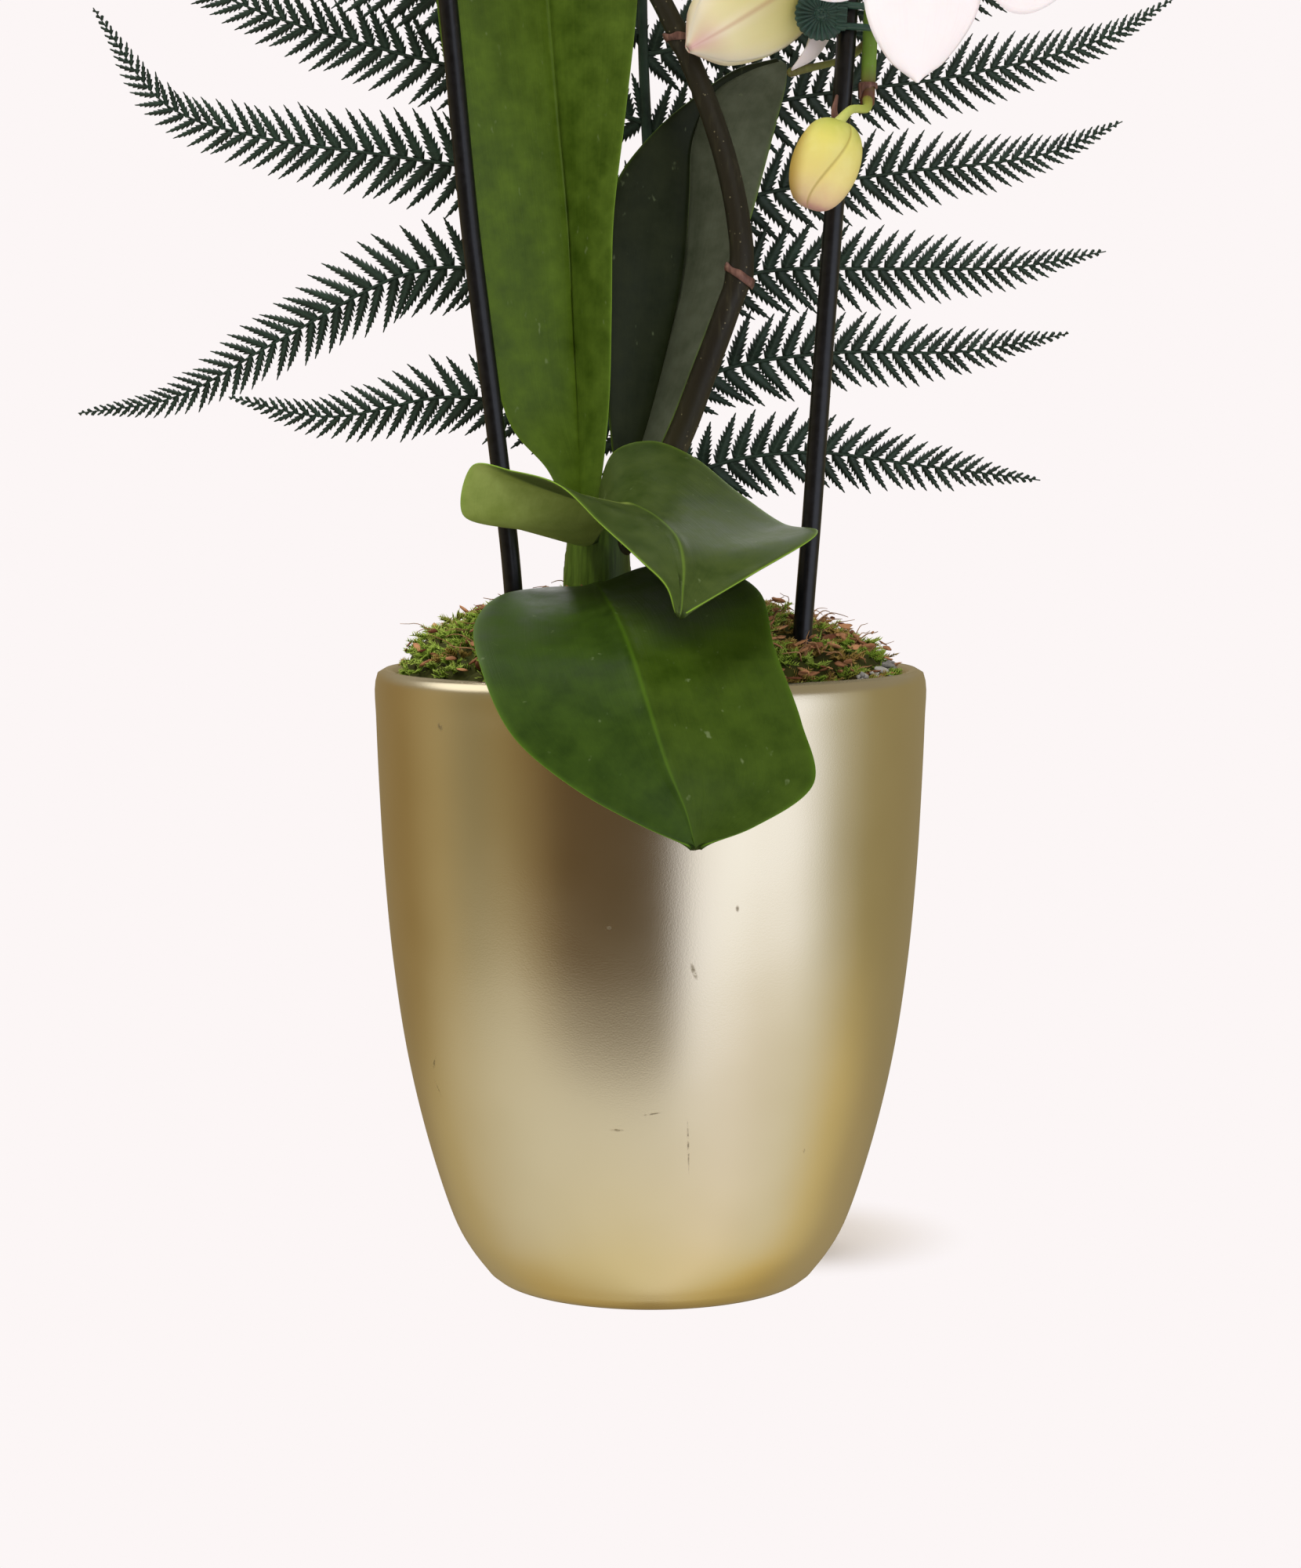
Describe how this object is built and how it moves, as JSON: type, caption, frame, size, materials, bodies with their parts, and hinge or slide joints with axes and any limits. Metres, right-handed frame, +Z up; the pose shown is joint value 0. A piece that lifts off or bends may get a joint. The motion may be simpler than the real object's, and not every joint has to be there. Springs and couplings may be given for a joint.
{
  "type": "potted orchid with fern frond",
  "caption": "Moth orchid in a tapering gold-coloured pot: strap leaves, a flower stem trained over a wire hoop with white blooms, moss on top and a feather-shaped fern frond behind.",
  "frame": {"origin": "middle of the pot's flat foot, on the surface that it stands on", "axes": "+Z up; -Y is the side that the blooms face; +X to the right of someone looking at the blooms"},
  "size_m": [0.2791, 0.1585, 0.4998],
  "materials": {
    "pot_gold": "satin metallic gold, faintly scratched",
    "liner": "cloudy thin plastic",
    "bark": "rough bark chips",
    "moss": "springy moss with bark crumbs",
    "crown": "smooth leaf bases",
    "leaf": "leathery, half gloss, paler edge",
    "stem": "smooth, dark green-brown",
    "wire": "smooth black coating",
    "clip": "moulded dark teal plastic",
    "petal": "soft white petal, faint veins",
    "lip": "waxy yellow with pink",
    "bud": "smooth yellow-green with a pink tip",
    "fern": "dull, deep green"
  },
  "bodies": {
    "root": {"pot": "pot_gold", "grow_pot": "liner", "potting_bark": "bark", "moss": "moss", "orchid_crown": "crown", "hoop_left": "wire", "hoop_right": "wire", "hoop_sleeve": "wire", "fern_frond": "fern", "flower_spike": "stem", "bloom_half_open": "petal", "bud": "bud", "clip_left": "clip", "clip_top": "clip", "clip_right": "clip", "leaf_upright_left": "leaf", "leaf_upright_right": "leaf", "leaf_arching": "leaf", "leaf_drooping": "leaf", "bloom_1": "petal", "bloom_2": "petal", "bloom_3": "petal", "bloom_4": "petal", "bloom_5": "petal", "bloom_6": "petal", "bloom_7": "petal", "lip_1": "lip", "lip_2": "lip", "lip_3": "lip", "lip_4": "lip", "lip_5": "lip", "lip_6": "lip", "lip_7": "lip"}
  },
  "joints": []
}
